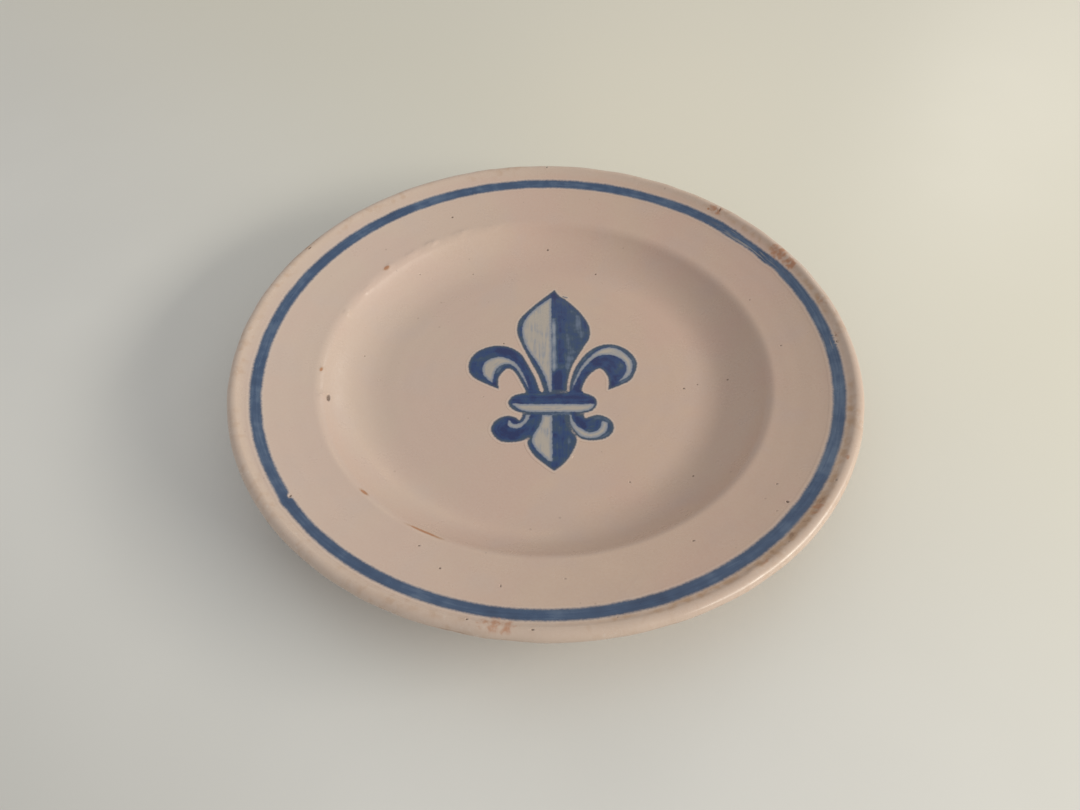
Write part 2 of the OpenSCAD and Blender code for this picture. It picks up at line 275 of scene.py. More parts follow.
# Soft patches rubbed down to the clay; the last number is how much of it shows
RUBBED = [
    (on_rim(24.9, 120.0), 4.4, 2.9, 115, 0.86), (on_rim(29.1, 120.4), 5.6, 3.8, 119, 0.82),
    (on_rim(26.8, 119.4), 5.0, 1.8, 117, 0.55),
    (on_rim(47.6, 120.6), 4.4, 2.6, 138, 0.70), (on_rim(263.3, 121.2), 8.0, 3.6, 354, 0.60),
    (on_rim(12.5, 120.4), 4.5, 1.7, 103, 0.40), (on_rim(3.4, 119.8), 2.2, 1.3, 93, 0.50),
    (on_rim(321, 120.6), 5.0, 1.5, 51, 0.55), (on_rim(333, 121.6), 1.8, 0.9, 60, 0.60),
    (on_rim(307, 121.0), 3.5, 1.2, 37, 0.35), (on_rim(98.5, 123.2), 3.0, 0.9, 188, 0.35),
]

# Soft lumps left by the thrower's fingers and thick glaze
LUMPS = [
    ((-40, 83.5), 5.5, 2.2, 26, 0.35), ((-53.3, 76), 5.0, 2.0, 35, 0.42),
    ((-71.5, 59), 3.6, 2.0, 50, 0.36), ((-86.4, 29.2), 2.2, 1.8, 72, 0.40),
    ((-80, 44), 6.0, 1.8, 61, 0.22), ((-91, -4), 3.0, 1.5, 88, 0.20),
    ((-62, 68.5), 6.0, 1.8, 42, 0.25), ((-25, 88.5), 7.0, 2.0, 16, 0.20),
    ((-89, -18), 3.2, 2.2, 98, 0.25), (on_rim(304, 121), 7.0, 1.4, 34, 0.18),
]


def mark_shape(x, y, mark):
    """1 in the middle of a mark and 0 from its edge outwards."""
    (cx, cy), length, width, turn, _ = mark
    c, s = heading(turn)
    along = ((x - cx) * c + (y - cy) * s) / length
    across = ((y - cy) * c - (x - cx) * s) / width
    return np.clip(1 - along**2 - across**2, 0, 1)


def wide_mark(x, y, mark, grow):
    """The same shape, a number of times wider and longer."""
    place, length, width, turn, depth = mark
    return mark_shape(x, y, (place, length * grow, width * grow, turn, depth))


def shared_relief(x, y, r):
    """Ripples that the clay has all the way through, from throwing and drying."""
    rings = np.sin(math.tau * r / 7.5 + 0.6 * waves(x, y, 70, 3)) * smooth(r, 10, 40)
    lip = waves(x, y, 16, 8) * smooth(r, 119, 123)
    return 0.05 * waves(x, y, 55, 1) + 0.018 * waves(x, y, 15, 2) + 0.012 * rings + 0.07 * lip


def face_relief(x, y):
    """How far the face stands out of its true section, in millimetres."""
    r = np.hypot(x, y)
    height = shared_relief(x, y, r)
    for mark in LUMPS:
        height += mark[4] * mark_shape(x, y, mark)**2 * (1 + 0.3 * waves(x, y, 3, 5))
    for mark in SCRAPES:
        height -= mark[4] * mark_shape(x, y, mark)**0.7
    for mark in PITS:
        height -= mark[4] * mark_shape(x, y, mark)**0.7
        height += 0.25 * mark[4] * wide_mark(x, y, mark, 1.9) * (1 - mark_shape(x, y, mark))
    return height


def back_relief(x, y):
    r = np.hypot(x, y)
    return shared_relief(x, y, r) * smooth(np.abs(r - 70), 2, 8)


def settle(points):
    """The plate isn't quite round, and its rim isn't quite level."""
    x, y = points[:, 0], points[:, 1]
    r = np.hypot(x, y)
    turn = np.arctan2(y, x)
    out = 0.0030 * np.cos(2 * turn - 0.7) + 0.0016 * np.cos(3 * turn + 1.0)
    lift = 0.35 * np.cos(2 * turn - 2.4) + 0.2 * np.cos(3 * turn - 1.0)
    lip_out = (0.22 + 0.68 * np.cos(2 * turn - math.radians(246))
               - 0.2 * np.cos(3 * turn - math.radians(60)))
    lip_lift = 0.15 + 1.05 * np.sin(turn)
    moved = points.copy()
    grow = out * smooth(r, 60, 125) + lip_out * smooth(r, 110, 124) / 125
    moved[:, :2] *= (1 + grow)[:, None]
    moved[:, 2] += lift * smooth(r, 80, 125) + lip_lift * smooth(r, 112, 123)
    return moved


# ---- meshes ---------------------------------------------------------------------------

FEWEST = 45                  # segments of the rings next to the plate's axis
DOUBLING_R = (4.6, 10, 24, 56)   # radii from which a ring may have twice as many


def stitch(faces, inner, outer):
    """Joins two rings of vertex numbers; one may have twice as many, or be a single point."""
    n, m = len(inner), len(outer)
    for i in range(max(n, m) if 1 in (n, m) else min(n, m)):
        j = i + 1
        if n == m:
            faces.append((inner[i], outer[i], outer[j % m], inner[j % n]))
        elif n == 1:
            faces.append((inner[0], outer[i], outer[j % m]))
        elif m == 1:
            faces.append((inner[i], outer[0], inner[j % n]))
        elif m == 2 * n:
            a, b = inner[i], inner[j % n]
            p, q, s = outer[2 * i], outer[2 * i + 1], outer[(2 * i + 2) % m]
            faces.extend([(a, p, q), (a, q, b), (b, q, s)])
        else:
            a, b = outer[i], outer[j % m]
            p, q, s = inner[2 * i], inner[2 * i + 1], inner[(2 * i + 2) % n]
            faces.extend([(p, a, q), (q, a, b), (q, b, s)])


def revolve(line, levels, closed):
    """A surface of revolution with its own number of segments at each ring."""
    verts, faces, rings = [], [], []
    for (r, z), level in zip(line, levels):
        count = 1 if r < 1e-6 else FEWEST * 2**int(level)
        turn = np.arange(count) * math.tau / count
        rings.append(np.arange(len(verts), len(verts) + count))
        verts.extend(np.stack([r * np.cos(turn), r * np.sin(turn), np.full(count, z)], 1))
    pairs = list(zip(rings, rings[1:])) + ([(rings[-1], rings[0])] if closed else [])
    for inner, outer in pairs:
        if len(inner) > 1 or len(outer) > 1:
            stitch(faces, inner, outer)
    return np.array(verts), faces


def ring_levels(line, cap):
    """How many times each ring's segments are doubled: fewer near the centre."""
    levels = np.minimum(np.searchsorted(DOUBLING_R, line[:, 0], side="right"), cap)
    for _ in range(4):
        beside = np.maximum(np.roll(levels, 1), np.roll(levels, -1))
        levels = np.maximum(levels, beside - 1)
    return levels


def coat(name, outer, cap=4, hidden_cap=2):
    """A band of glaze: its outer surface, and a coarser hidden one a glaze's depth below."""
    inner = inset(outer, GLAZE)[::-1]
    inner = inner[sorted(set(range(0, len(inner), 3)) | {0, len(inner) - 1})]
    line = np.vstack([outer, inner])
    caps = [cap] * len(outer) + [hidden_cap] * len(inner)
    return mesh_from(name, *revolve(line, ring_levels(line, caps), True))


def mesh_from(name, verts, faces):
    mesh = bpy.data.meshes.new(name)
    mesh.from_pydata(np.asarray(verts) * MM, [], faces)
    mesh.update()
    return mesh


def read_vectors(items, field):
    flat = np.empty(len(items) * 3, np.float32)
    items.foreach_get(field, flat)
    return flat.reshape(-1, 3).astype(float)


def vertex_array(mesh):
    return read_vectors(mesh.vertices, "co") / MM


def normal_array(mesh):
    return read_vectors(mesh.vertex_normals, "vector")


def move_vertices(mesh, points):
    mesh.vertices.foreach_set("co", (points * MM).astype(np.float32).ravel())
    mesh.update()


def set_attribute(mesh, name, values):
    values = np.asarray(values, np.float32)
    kind, field = ("FLOAT", "value") if values.ndim == 1 else ("FLOAT_VECTOR", "vector")
    mesh.attributes.new(name, kind, "POINT").data.foreach_set(field, values.ravel())


def refine_near(mesh, marks):
    """Smaller faces around small marks, so that each is real shape."""
    bm = bmesh.new()
    bm.from_mesh(mesh)
    points = vertex_array(mesh)
    up = normal_array(mesh)[:, 2] > 0.05
    near = np.zeros(len(points), bool)
    for (cx, cy), length, width, _, _ in marks:
        near |= np.hypot(points[:, 0] - cx, points[:, 1] - cy) < max(length, width) + 1.1
    near &= up
    bm.verts.ensure_lookup_table()
    edges = [e for e in bm.edges if near[e.verts[0].index] and near[e.verts[1].index]]
    bmesh.ops.subdivide_edges(bm, edges=edges, cuts=3, use_grid_fill=True)
    bm.to_mesh(mesh)
    bm.free()


def make_piece(mesh, material, node):
    """A finished, placed piece that stands for one CAD node."""
    mesh.materials.append(material)
    mesh.shade_smooth()
    mesh.set_sharp_from_angle(angle=math.radians(50))
    piece = bpy.data.objects.new(mesh.name, mesh)
    bpy.context.collection.objects.link(piece)
    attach(piece, "root")
    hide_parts(node)
    return piece


# ---- painted rim line -----------------------------------------------------------------

LINE_R = 113.0
BLEED = 1.3                  # how far the line's piece reaches beyond its colour
LINE_LIMIT = 120.6           # and the radius it stays inside, short of the lip

# Where the brush swelled, skipped or was lifted, and broad changes of depth: change, angle and spread
# in degrees
INNER_CHANGES = [(0.35, 26, 2), (-0.75, 30, 2), (-0.7, 40, 5), (1.15, 218.4, 0.55), (0.3, 224, 6)]
OUTER_CHANGES = [(-0.85, 35, 7), (0.45, 219.6, 1.2), (-0.3, 212, 6)]
# The broad depth changes make the line deeper over the near side, at 275 degrees, and paler at the
# right, at 0 and 360 degrees
DEPTH_CHANGES = [(0.14, 220.5, 1.5), (0.14, 189, 1.2), (-0.06, 200, 12), (0.06, 275, 50),
                 (-0.12, 0, 30), (-0.12, 360, 30), (0.12, 31, 2), (-0.05, 38, 7)]
LINE_WEAR = [(1, 35, 8), (0.5, 1.5, 2)]
NO_WASH = 9.0                # a distance to pale wash that is too far to show


def bell(value, centre, width):
    return np.exp(-((value - centre) / width)**2)


def bells(turn, changes):
    """The sum of several changes, each in one direction from the plate's middle."""
    return sum(size * bell(turn, angle, spread) for size, angle, spread in changes)


def wander(turn, mean, *swings):
    """A radius that swings once, twice and three times on the way round the plate."""
    a = np.radians(turn)
    return mean + sum(size * np.cos(k * a - lag) for k, (size, lag) in enumerate(swings, 1))


def line_edges(turn):
    """Inner and outer radius of the brushed line at each angle, in degrees."""
    x, y = on_rim(turn, LINE_R)
    ragged = bell(turn, 37, 11)
    inner = wander(turn, 113.12, (1.15, -0.92), (-0.19, 0), (0.18, 0.44)) + bells(turn, INNER_CHANGES)
    outer = wander(turn, 117.51, (1.35, -0.98), (-0.15, 0), (0.19, 0.6)) + bells(turn, OUTER_CHANGES)
    inner += 0.06 * waves(x, y, 9, 21) + 0.08 * ragged * waves(x, y, 2.2, 22)
    outer += 0.07 * waves(x, y, 10, 23) + 0.10 * ragged * waves(x, y, 2.4, 24)
    return inner, outer + 0.25 * waves(x, y, 1.6, 25) * bell(turn, 2, 3)


def line_depth(turn):
    """How much colour the line shows along its length, from brush clouds and the listed changes."""
    x, y = on_rim(turn, LINE_R)
    cloudy = 0.60 + 0.05 * waves(x, y, 30, 31) + 0.03 * waves(x, y, 6, 32)
    return cloudy + bells(turn, DEPTH_CHANGES)


def ring_sheet(segments, across):
    """Faces of a closed flat ring: its top, its underside and its two edges."""
    faces = []
    last = segments * across
    for i in range(segments):
        a, b = i * across, (i + 1) % segments * across
        for k in range(across - 1):
            faces.append((a + k, a + k + 1, b + k + 1, b + k))
            faces.append((last + a + k, last + b + k, last + b + k + 1, last + a + k + 1))
        faces.append((a, b, last + b, last + a))
        c, d = a + across - 1, b + across - 1
        faces.append((c, last + c, last + d, d))
    return faces


def paint_rim_line(material):
    segments, across = 1800, 22
    turn = np.repeat(np.arange(segments) * 360 / segments, across)
    inner, outer = line_edges(turn)
    low, high = inner - BLEED, np.minimum(outer + BLEED, LINE_LIMIT)
    r = low + (high - low) * np.tile(np.linspace(0, 1, across), segments)
    top = sheet_points(*on_rim(turn, r), PAINT)
    under = sheet_points(*on_rim(turn, r), -PAINT_SUNK)
    mesh = mesh_from("painted_rim_line", np.vstack([top, under]), ring_sheet(segments, across))
    paint_attributes(mesh, edge=np.maximum(inner - r, r - outer),
                     wash=np.full(r.size, NO_WASH), depth=line_depth(turn),
                     worn=bells(turn, LINE_WEAR), stroke=np.stack([r * 1.3, *on_rim(turn, 9)], 1))
    make_piece(mesh, material, "rim_line")


def sheet_points(x, y, proud):
    """Points a little above or below the glazed face, wherever it has been rippled."""
    r = np.hypot(x, y)
    z, rise = on_face(r)
    scale = 1 / np.sqrt(1 + rise**2)
    height = face_relief(x, y) + proud
    out = -rise * scale * height / np.maximum(r, 1)
    return settle(np.stack([x * (1 + out), y * (1 + out), z + scale * height], 1))


def paint_attributes(mesh, **facts):
    """Colour facts of a painted piece, doubled for its top and its underside."""
    for name, values in facts.items():
        set_attribute(mesh, name, np.concatenate([values, values]))
    face_attributes(mesh)


# ---- painted lily ---------------------------------------------------------------------
# In the motif's own frame: x across, y away from the front.

BAR_GAP = 0.1                # the other areas stop this far short of the tie bar
JOIN = BAR_TOP + BAR_GAP
FOOT = BAR_BOTTOM - BAR_GAP
MARGIN = 1.2                 # clear glaze that each piece carries around its colour
LAP = 0.5                    # how far pieces reach over each other
GRID = 0.45                  # side of the small triangles they are made of


def outline(*runs):
    """A closed outline of smooth runs with corners, or short straight joints, between them."""
    return np.vstack([through(run) for run in runs])


AREAS = {
    # joined() leaves out the right run's first point, so this petal's foot slants a little
    "centre_petal": joined(
        through([(1.2, 52), (-1.9, 48.5), (-8.5, 41), (-14.2, 33), (-15.7, 27), (-14.8, 20),
                 (-9.8, 6.6), (-6.2, -2), (-3.6, JOIN)]),
        through([(6.1, JOIN), (6.4, -6), (8.4, 2.9), (13.5, 14), (16.5, 20.5), (16.4, 28.5),
                 (12.6, 37), (6.6, 45), (3.7, 47.6), (1.2, 52)])),
    "left_petal": outline(
        [(-5.2, JOIN), (-7, -4.5), (-10.4, 4), (-14, 11), (-20, 15), (-27, 15), (-33.5, 11),
         (-36.1, 4), (-33.6, -3.4), (-22.5, -10.1)],
        [(-22.5, -10.1), (-22.7, -3.5), (-19.4, 1.5), (-16.3, -0.2), (-13.4, -6), (-11.1, JOIN)]),
    "right_petal": outline(
        [(6.9, JOIN), (7.4, -6), (9.9, 2.9), (15.9, 12.2), (24, 16.4), (32, 13.5), (36.3, 5.5),
         (33.5, -4), (28.4, -7.8), (23.2, -10.3)],
        [(23.2, -10.3), (23.4, -3.4), (20.3, 1.7), (15.6, -2), (12.6, -8.5), (12.3, JOIN)]),
    "tie_bar": outline(
        [(-8, BAR_BOTTOM), (-14.2, -22.4), (-17.6, -19.8), (-18.3, -16.6), (-15.9, -13.3),
         (-10, BAR_TOP)],
        [(12.5, BAR_TOP), (17, -13.9), (18.3, -17.4), (16.7, -21), (13.4, -22.7),
         (8, BAR_BOTTOM)]),
    "left_curl": outline(
        [(-5, FOOT), (-6, -28), (-9.8, -35.6), (-15, -37.9), (-21, -37.4), (-24.8, -32.5),
         (-23.8, -27.5), (-19.5, -24.5), (-15.6, -25), (-13.6, -26.6)],
        [(-13.6, -26.6), (-12.7, -25), (-12.5, FOOT)]),
    "right_curl": outline(
        [(12.6, FOOT), (13.2, -25.4), (15.2, -24.6), (19, -23.8), (23.4, -26.4), (24.4, -31.5),
         (21.2, -35.7), (15.5, -37), (10.8, -35.9), (8, -31.8), (6.1, -27), (5.8, FOOT)]),
    "tail": outline(
        [(-4.8, FOOT), (-5.8, -28), (-9.3, -35.6), (-10.2, -39), (-7.6, -44.4), (-2.5, -49.6),
         (0.3, -51.8)],
        [(0.3, -51.8), (3.5, -49.2), (7, -44), (9.5, -37), (7.4, -31.8), (5.8, -27), (5.5, FOOT)]),
}
WASHES = {
    "centre_petal": outline(
        [(DIVIDE, 46.5), (-6.5, 40.5), (-11.6, 33), (-13.4, 25.5), (-11.6, 15.5), (-6, 4),
         (-3.1, -3.5), (-1.4, JOIN)],
        [(DIVIDE, JOIN)]),
    "left_petal": outline(
        [(-25.4, -6.5), (-29.4, -1.5), (-29.2, 5), (-23.5, 8.6), (-16.6, 5.7), (-12.2, -2.2),
         (-10.1, -9.5)],
        [(-10.1, -9.5), (-12.9, -3.2), (-16.2, 2.7), (-20, 4.5), (-24, 1.4), (-25.4, -6.5)]),
    "right_petal": outline(
        [(8.2, -10), (9.6, -4), (14, 5.6), (20.9, 13.1), (28, 13.7), (34, 6.6), (32.9, -1.5),
         (27.4, -6.2)],
        [(27.4, -6.2), (31.4, 0), (30.8, 6), (26, 9.6), (19.4, 9), (13.1, 1.6), (9.3, -7),
         (8.2, -10)]),
    "tie_bar": outline(
        [(-9, -22.3), (-13.2, -21.2), (-16.6, -17.9), (-13, -18.2)],
        [(13, -18), (16.9, -18), (15.2, -21), (11, -22.2)]),
    "left_curl": outline(
        [(-9.3, -23.9), (-10.4, -27.2), (-14, -30.9), (-18, -29.6), (-17.9, -26.6)],
        [(-17.9, -26.6), (-15.8, -28.6), (-13, -28.1), (-11.4, -25.6), (-10.9, -23.9)]),
    "right_curl": outline(
        [(6.8, -23.9), (7.6, -29.5), (11, -34.6), (16, -35.7), (20.6, -33.2), (22.1, -28.6),
         (19.9, -27)],
        [(19.9, -27), (18.6, -31), (14.6, -32.8), (10.2, -30), (8, -26.4), (7.6, -23.9)]),
    "tail": outline(
        [(-4.2, -24), (-5.2, -28.6), (-8.2, -35.8), (-7.2, -40.6), (-2.4, -46.4),
         (DIVIDE, -47.4)],
        [(DIVIDE, -24)]),
}
NAMES = list(AREAS)
HALVED = ("centre_petal", "tail")        # dark on the right, pale with an outline on the left
PIECES = [name + "_" + part for name in NAMES for part in ("shade", "wash", "line")
          if part != "line" or name in HALVED]
SMUDGE = np.array([(5.2, 47.2), (7.0, 46.5)])     # colour that ran out beside the tip

# How deep the colour is in each area before the single brush strokes are added
BASE_DEPTH = {"centre_petal": 0.66, "left_petal": 0.75, "right_petal": 0.84, "tie_bar": 0.80,
              "left_curl": 0.84, "right_curl": 0.72, "tail": 0.70}

# Brush strokes: change of depth, half width, and the way the brush went
STROKES = [
    (0.22, 1.5, [(1.2, 48), (1.0, 41), (0.9, 32)]),
    (-0.60, 1.0, [(0.8, 32), (0.7, 14), (0.8, 1)]),
    (0.20, 1.3, [(3.2, 42), (3.6, 31), (3.4, 20), (3.2, 6)]),
    (-0.07, 1.7, [(8.6, 38), (10.6, 28), (9.2, 16), (7.2, 5)]),
    (-0.15, 0.9, [(11.6, 34), (12.4, 27), (12.6, 21)]),
    (-0.14, 1.3, [(8.2, 8), (6.6, 0)]),
    (0.12, 1.2, [(4.4, 13), (4.0, 5)]),
    (0.50, 1.7, [(2.2, 0), (2.5, -6), (2.8, -11)]),
    (0.35, 1.4, [(1.1, 51.5), (1.1, 48)]),
    (-0.40, 1.0, [(6.2, 46.9), (7.4, 46.3)]),
    (0.14, 0.8, [(3.0, 47), (9.5, 40), (14.5, 32), (16.0, 25)]),
    (0.12, 1.8, [(-34.5, 1), (-31.5, 9), (-23.5, 13.5), (-17.5, 11), (-12.5, 3), (-8.5, -9)]),
    (-0.22, 1.4, [(-32.6, 6.6), (-30.8, 8.2)]),
    (-0.14, 1.5, [(-33.6, 1), (-32.2, -3)]),
    (0.15, 1.8, [(-24.5, 13), (-19, 12.2)]),
    (0.40, 1.4, [(-24.5, -8), (-23.2, -9.6)]),
    (-0.20, 0.9, [(-23.0, 0), (-20.3, 3.6), (-16.6, 1), (-11.6, -9)]),
    (-0.28, 1.1, [(8.0, -6), (14.5, 9.2), (21.5, 15), (29.5, 14.6), (35, 7), (34.5, 0), (29.5, -6)]),
    (0.15, 2.2, [(25.5, 8), (26.5, 7)]),
    (0.12, 1.6, [(17.2, 6.2), (18.2, 5)]),
    (-0.14, 1.5, [(29.6, 4.5), (28, 0)]),
    (0.40, 1.4, [(24.5, -7), (23.6, -9.6)]),
    (0.20, 1.3, [(10.6, -10), (10.2, -6)]),
    (0.16, 0.7, [(-15, -14.4), (1.5, -14.3), (15, -14.5)]),
    (0.22, 1.0, [(-14.5, -16.6), (-16.4, -16.2)]),
    (0.22, 1.0, [(15.4, -16.6), (16.8, -16.4)]),
    (-0.24, 0.8, [(-17.2, -19), (-13, -22.4), (-3.5, -23), (11.5, -22.7), (16.6, -20)]),
    (-0.10, 0.6, [(-12.5, -12.4), (13.5, -12.4)]),
    (0.20, 2.6, [(-20.5, -32), (-19, -33)]),
    (0.15, 1.6, [(-16.5, -34.5), (-14.6, -34)]),
    (-0.18, 1.3, [(-22.6, -27), (-20.4, -25.6)]),
    (-0.18, 0.8, [(-20, -37.2), (-15, -37.4), (-11.5, -35.4)]),
    (-0.20, 0.9, [(7.2, -26), (9.4, -33), (16.0, -36.2), (22.4, -34), (23.8, -29), (20.5, -25.2),
                  (15.5, -25)]),
    (0.34, 1.2, [(9.2, -23.5), (10.3, -27), (12.4, -29.8)]),
    (0.16, 0.5, [(13.2, -30.6), (17.2, -30.4), (18, -27.4)]),
    (0.35, 1.4, [(0.4, -51), (0.6, -48.5)]),
    (0.20, 1.4, [(3.6, -44.4), (3.2, -42)]),
    (0.16, 0.7, [(-0.1, -34.6), (0.6, -34)]),
    (0.16, 0.7, [(3.8, -36.2), (4.4, -35.6)]),
    (-0.14, 1.2, [(5.6, -40), (5.4, -37)]),
    (0.16, 0.8, [(4.4, -24.5), (4.7, -27)]),
]


def segment_distance(points, line, closed):
    """Shortest distance from each point to a line of short straight pieces."""
    a = line if closed else line[:-1]
    b = np.roll(line, -1, 0) if closed else line[1:]
    best = np.full(len(points), 1e9)
    for p, q in zip(a, b):
        run = q - p
        t = np.clip(((points - p) @ run) / max(run @ run, 1e-12), 0, 1)
        best = np.minimum(best, np.linalg.norm(points - p - t[:, None] * run, axis=1))
    return best


def signed_distance(points, outline):
    """Distance to a closed outline, negative inside it."""
    x, y = points[:, 0], points[:, 1]
    inside = np.zeros(len(points), bool)
    for (x0, y0), (x1, y1) in zip(outline, np.roll(outline, -1, 0)):
        if y0 != y1:
            inside ^= ((y0 > y) != (y1 > y)) & (x < (x1 - x0) * (y - y0) / (y1 - y0) + x0)
    return np.where(inside, -1, 1) * segment_distance(points, outline, True)


class Motif:
    """Distances and colour facts of the whole lily at a set of points in its own frame."""

    def __init__(self, points):
        self.points = points
        self.area = np.array([signed_distance(points, AREAS[name]) for name in NAMES])
        self.wash = np.array([signed_distance(points, WASHES[name]) for name in NAMES])
        smudge = segment_distance(points, SMUDGE, False) - 0.35
        self.area[0] = np.minimum(self.area[0], smudge)

    def part(self, used):
        """The same facts for some of the points only."""
        some = Motif.__new__(Motif)
        some.points = self.points[used].copy()
        some.area, some.wash = self.area[:, used].copy(), self.wash[:, used].copy()
        return some

    def renew(self, which, points):
        """Moves some of the points and works their facts out again."""
        fresh = Motif(points)
        self.points[which] = points
        self.area[:, which], self.wash[:, which] = fresh.area, fresh.wash

    def edge(self):
        """Distance to the nearest edge of colour; areas that almost touch run together."""
        nearest = np.sort(self.area, 0)
        gap = nearest[0] + nearest[1]
        return np.minimum(nearest[0], gap - 0.75 - 1.6 * smooth(-gap, -0.35, 0.05))

    def region(self, piece):
        """Negative where a painted piece lies, with a margin of clear glaze around it."""
        name, part = piece.rsplit("_", 1)
        index = NAMES.index(name)
        side = self.points[:, 0] - DIVIDE
        if part == "wash":
            return self.wash[index] - LAP
        limits = [self.area[index] - MARGIN, -self.wash[index] - LAP]
        if name in HALVED:
            limits.append(side - LAP if part == "line" else -side - LAP)
        others = np.delete(self.area, index, 0).min(0)
        return np.max(limits + [-others - LAP], axis=0)

    def depth(self):
        base = np.array([BASE_DEPTH[name] for name in NAMES])[self.area.argmin(0)]
        for change, width, way in STROKES:
            away = segment_distance(self.points, through(way, 4), False)
            base = base + change * np.exp(-(away / width)**2 * 0.8)
        return base

    def stroke(self):
        """Texture coordinates that run along the way each area was brushed."""
        x, y = self.points.T
        along = {
            "centre_petal": (x * 1.1, y * 0.07, x * 0.05), "tail": (x * 1.1, y * 0.09, x * 0.05),
            "tie_bar": (y * 1.1, x * 0.08, y * 0.05),
        }
        nearest = self.area.argmin(0)
        found = np.empty((len(x), 3))
        for index, name in enumerate(NAMES):
            edge = self.area[index]
            columns = along.get(name, (edge * 0.9, x * 0.14, y * 0.14))
            here = nearest == index
            found[here] = np.stack(columns, 1)[here] + 7.3 * index
        return found


def motif_grid():
    """A field of equal triangles that covers the whole lily."""
    left, front, width, height = -39.5, -55, 80, 110
    row = GRID * math.sqrt(3) / 2
    columns, rows = int(width / GRID), int(height / row)
    i, j = np.meshgrid(np.arange(columns), np.arange(rows))
    x = left + GRID * (i + 0.5 * (j % 2))
    y = front + row * j
    points = np.stack([x.ravel(), y.ravel()], 1)
    corner = (i + j * columns)[:-1, :-1].ravel()
    odd = (j[:-1, :-1] % 2 == 1).ravel()
    right, above, both = corner + 1, corner + columns, corner + columns + 1
    first = np.where(odd[:, None], np.stack([corner, both, above], 1),
                     np.stack([corner, right, above], 1))
    second = np.where(odd[:, None], np.stack([corner, right, both], 1),
                      np.stack([right, both, above], 1))
    return points, np.vstack([first, second])


def border_loops(triangles):
    """The directed edges that only one triangle has."""
    edges = np.vstack([triangles[:, [0, 1]], triangles[:, [1, 2]], triangles[:, [2, 0]]])
    have = set(map(tuple, edges))
    return [(a, b) for a, b in map(tuple, edges) if (b, a) not in have]


def fitted(field, triangles, piece):
    """The grid's triangles under one piece, with the outermost points drawn to its edge."""
    triangles = triangles[field.region(piece)[triangles].mean(1) < 0]
    used, triangles = np.unique(triangles, return_inverse=True)
    triangles = triangles.reshape(-1, 3)
    motif = field.part(used)
    rim = np.unique(np.array(border_loops(triangles)))
    points = motif.points[rim]
    step = 0.02
    for _ in range(2):
        here = Motif(points).region(piece)
        slope = np.stack([Motif(points + offset).region(piece) - here
                          for offset in ((step, 0), (0, step))], 1) / step
        size = np.maximum((slope**2).sum(1), 0.3)
        move = -(here / size)[:, None] * slope
        length = np.maximum(np.linalg.norm(move, axis=1), 1e-9)
        points = points + move * np.minimum(1, 0.25 / length)[:, None]
    motif.renew(rim, points)
    return motif, triangles


def paint_motif_piece(piece, order, field, triangles, material):
    motif, triangles = fitted(field, triangles, piece)
    points = motif.points
    x, y = points[:, 0] + MOTIF.x, points[:, 1] + MOTIF.y
    top = sheet_points(x, y, PAINT + 0.002 * order)
    under = sheet_points(x, y, -PAINT_SUNK)
    count = len(points)
    faces = [tuple(t) for t in triangles] + [tuple(t[::-1] + count) for t in triangles]
    faces += [(b, a, a + count, b + count) for a, b in border_loops(triangles)]
    mesh = mesh_from("painted_" + piece, np.vstack([top, under]), faces)
    paint_attributes(mesh, edge=motif.edge(), wash=motif.wash.min(0), depth=motif.depth(),
                     worn=np.zeros(count), stroke=motif.stroke())
    make_piece(mesh, material, piece)


def paint_motif(materials):
    points, triangles = motif_grid()
    field = Motif(points)
    for order, piece in enumerate(PIECES):
        slot_name = "cobalt_" + piece.rsplit("_", 1)[1]
        paint_motif_piece(piece, order, field, triangles, materials[slot_name])


# ---- clay and glaze -------------------------------------------------------------------

# Brown staining: radius and half width of a belt, then how much, where and how far along it
STAINS = [
    (119.8, 1.8, [(0.9, 318, 14), (0.6, 292, 18), (0.5, 342, 14), (0.5, 14, 9), (0.45, 37, 14),
                  (0.25, 238, 3)]),
    (122.5, 2, [(0.35, 98, 7), (0.3, 117, 3), (0.35, 150, 5), (0.3, 250, 12)]),
    (124.3, 1, [(0.6, 152, 16)]),
]


def face_attributes(mesh):
    """Staining, bare clay, and dirt with painted shade in the pits, at every vertex of a piece on the
    face.
    """
    x, y, _ = vertex_array(mesh).T
    r = np.hypot(x, y)
    turn = np.degrees(np.arctan2(y, x)) % 360
    patchy = 0.5 + 0.5 * waves(x, y, 5, 41)
    stain = sum(bell(r, middle, width) * bells(turn, places) for middle, width, places in STAINS)
    clay = np.zeros_like(x)
    for mark in SCRAPES:
        clay = np.maximum(clay, mark_shape(x, y, mark)**0.5)
        stain = np.maximum(stain, 0.8 * wide_mark(x, y, mark, 1.7))
    uneven = 0.85 + 0.35 * waves(x, y, 3, 43)
    for mark in RUBBED:
        clay = np.maximum(clay, mark[4] * uneven * mark_shape(x, y, mark)**0.6)
    pit_dirt_and_shade = np.zeros_like(x)
    # Dirt and painted shade in each pit, darker for deeper pits
    for mark in PITS:
        pit_dirt_and_shade = np.maximum(pit_dirt_and_shade, min(1, 5 * mark[4]) * mark_shape(x, y, mark)**0.5)
    set_attribute(mesh, "stain", np.clip(stain * (0.65 + 0.5 * patchy), 0, 1))
    set_attribute(mesh, "clay", clay)
    set_attribute(mesh, "pit_dirt_and_shade", pit_dirt_and_shade)


def make_face(material):
    mesh = coat("face_glaze", FACE)
    refine_near(mesh, [mark for mark in PITS + SCRAPES if mark[2] < 1.4])
    points, normals = vertex_array(mesh), normal_array(mesh)
    x, y, z = points.T
    points += normals * (face_relief(x, y) * outer_side(x, y, z))[:, None]
    move_vertices(mesh, points)
    face_attributes(mesh)
    move_vertices(mesh, settle(points))
    make_piece(mesh, material, "glaze_face")


